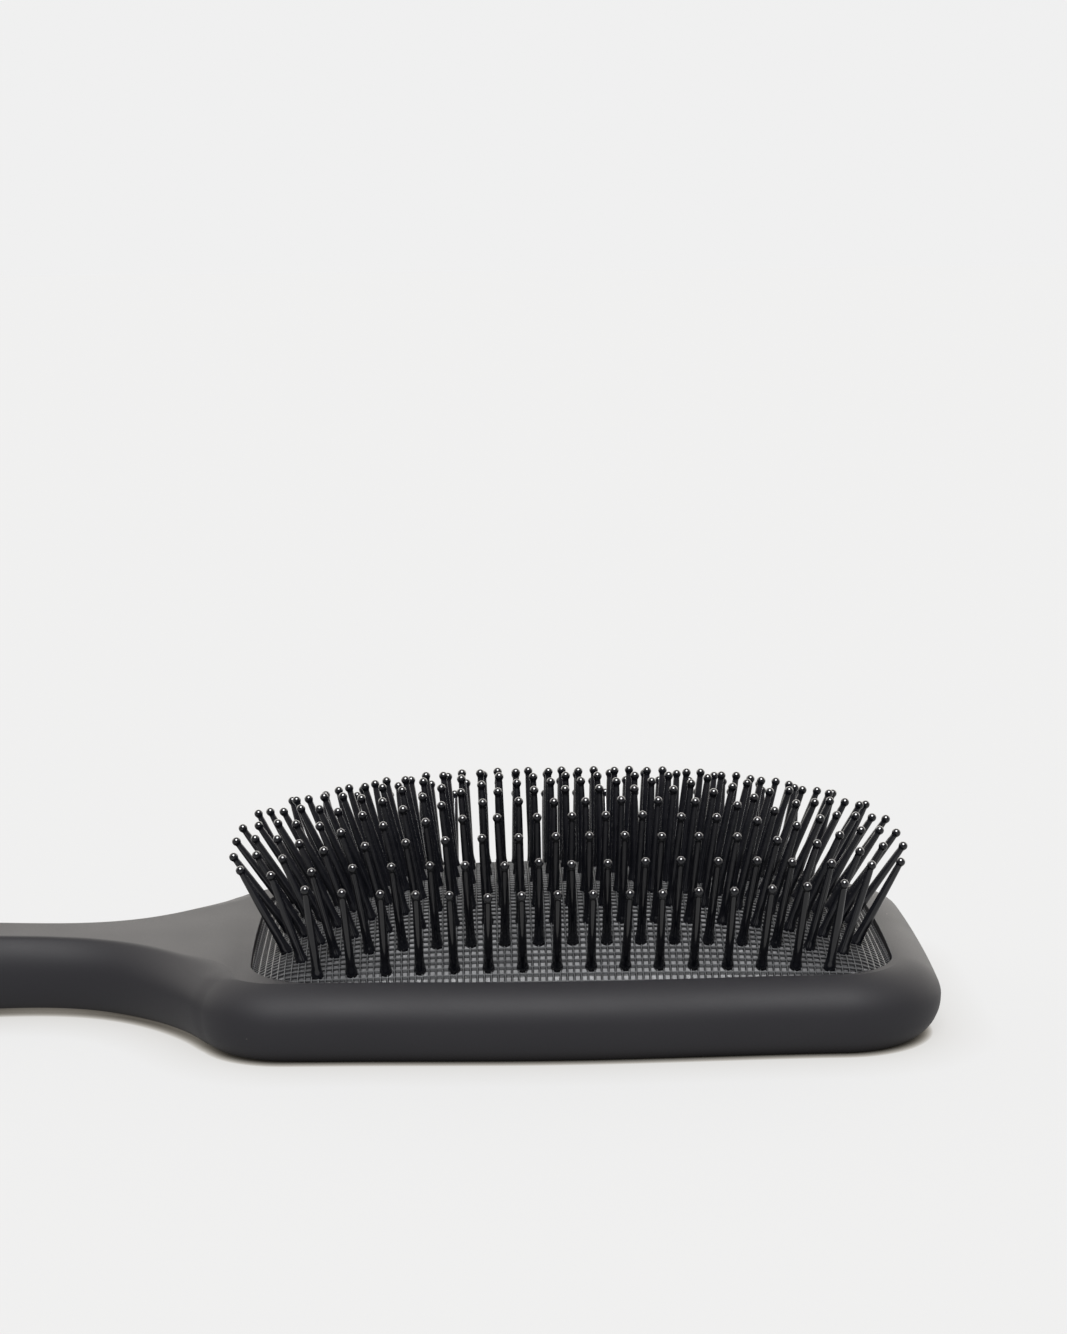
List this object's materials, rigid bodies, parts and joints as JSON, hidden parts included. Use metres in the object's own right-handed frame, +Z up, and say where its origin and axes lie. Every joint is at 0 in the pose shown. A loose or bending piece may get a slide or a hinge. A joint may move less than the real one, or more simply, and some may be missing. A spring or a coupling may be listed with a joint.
{
  "type": "paddle hair brush",
  "caption": "Paddle hair brush with a wide cushioned head, rows of ball-tipped pins that press in and spring back, and a slim two-shell handle.",
  "frame": {"origin": "on the surface the brush lies on, under the middle of its whole length and width", "axes": "+X along the brush to the tip of the head, the handle ends at -X; +Y across it; +Z up out of the cushion, the way the pins point"},
  "size_m": [0.25, 0.079, 0.0422],
  "materials": {
    "soft_touch_body": "matt black soft-touch coating, fine and even",
    "inner_plastic": "plain moulded plastic, hidden inside the head",
    "cushion_rubber": "black rubber with a fine raised grid of small squares",
    "pin_plastic": "glossy black nylon"
  },
  "bodies": {
    "brush_body": {"front_shell": "soft_touch_body", "back_cover": "soft_touch_body", "cushion_tray": "inner_plastic", "cushion": "cushion_rubber"},
    "row_01": {"pin_row_01": "pin_plastic"},
    "row_02": {"pin_row_02": "pin_plastic"},
    "row_03": {"pin_row_03": "pin_plastic"},
    "row_04": {"pin_row_04": "pin_plastic"},
    "row_05": {"pin_row_05": "pin_plastic"},
    "row_06": {"pin_row_06": "pin_plastic"},
    "row_07": {"pin_row_07": "pin_plastic"},
    "row_08": {"pin_row_08": "pin_plastic"},
    "row_09": {"pin_row_09": "pin_plastic"},
    "row_10": {"pin_row_10": "pin_plastic"},
    "row_11": {"pin_row_11": "pin_plastic"},
    "row_12": {"pin_row_12": "pin_plastic"},
    "row_13": {"pin_row_13": "pin_plastic"}
  },
  "joints": [
    {"name": "row_07_press", "type": "slide", "parent": "brush_body", "child": "row_07", "axis": [0, 0, 1], "range_m": [-0.003, 0], "stiffness_N_per_m": 400, "deforming": ["cushion"]},
    {"name": "row_01_press", "type": "slide", "parent": "brush_body", "child": "row_01", "axis": [0, 0, 1], "range_m": [-0.00042, 0], "stiffness_N_per_m": 400},
    {"name": "row_02_press", "type": "slide", "parent": "brush_body", "child": "row_02", "axis": [0, 0, 1], "range_m": [-0.00132, 0], "stiffness_N_per_m": 400},
    {"name": "row_03_press", "type": "slide", "parent": "brush_body", "child": "row_03", "axis": [0, 0, 1], "range_m": [-0.00201, 0], "stiffness_N_per_m": 400},
    {"name": "row_04_press", "type": "slide", "parent": "brush_body", "child": "row_04", "axis": [0, 0, 1], "range_m": [-0.00252, 0], "stiffness_N_per_m": 400},
    {"name": "row_05_press", "type": "slide", "parent": "brush_body", "child": "row_05", "axis": [0, 0, 1], "range_m": [-0.00282, 0], "stiffness_N_per_m": 400},
    {"name": "row_06_press", "type": "slide", "parent": "brush_body", "child": "row_06", "axis": [0, 0, 1], "range_m": [-0.00297, 0], "stiffness_N_per_m": 400},
    {"name": "row_08_press", "type": "slide", "parent": "brush_body", "child": "row_08", "axis": [0, 0, 1], "range_m": [-0.00297, 0], "stiffness_N_per_m": 400},
    {"name": "row_09_press", "type": "slide", "parent": "brush_body", "child": "row_09", "axis": [0, 0, 1], "range_m": [-0.00282, 0], "stiffness_N_per_m": 400},
    {"name": "row_10_press", "type": "slide", "parent": "brush_body", "child": "row_10", "axis": [0, 0, 1], "range_m": [-0.00252, 0], "stiffness_N_per_m": 400},
    {"name": "row_11_press", "type": "slide", "parent": "brush_body", "child": "row_11", "axis": [0, 0, 1], "range_m": [-0.00201, 0], "stiffness_N_per_m": 400},
    {"name": "row_12_press", "type": "slide", "parent": "brush_body", "child": "row_12", "axis": [0, 0, 1], "range_m": [-0.00132, 0], "stiffness_N_per_m": 400},
    {"name": "row_13_press", "type": "slide", "parent": "brush_body", "child": "row_13", "axis": [0, 0, 1], "range_m": [-0.00042, 0], "stiffness_N_per_m": 400}
  ],
  "couplings": [
    {"joint": "row_01_press", "follows": "row_07_press", "ratio": 0.14},
    {"joint": "row_02_press", "follows": "row_07_press", "ratio": 0.44},
    {"joint": "row_03_press", "follows": "row_07_press", "ratio": 0.67},
    {"joint": "row_04_press", "follows": "row_07_press", "ratio": 0.84},
    {"joint": "row_05_press", "follows": "row_07_press", "ratio": 0.94},
    {"joint": "row_06_press", "follows": "row_07_press", "ratio": 0.99},
    {"joint": "row_08_press", "follows": "row_07_press", "ratio": 0.99},
    {"joint": "row_09_press", "follows": "row_07_press", "ratio": 0.94},
    {"joint": "row_10_press", "follows": "row_07_press", "ratio": 0.84},
    {"joint": "row_11_press", "follows": "row_07_press", "ratio": 0.67},
    {"joint": "row_12_press", "follows": "row_07_press", "ratio": 0.44},
    {"joint": "row_13_press", "follows": "row_07_press", "ratio": 0.14}
  ]
}
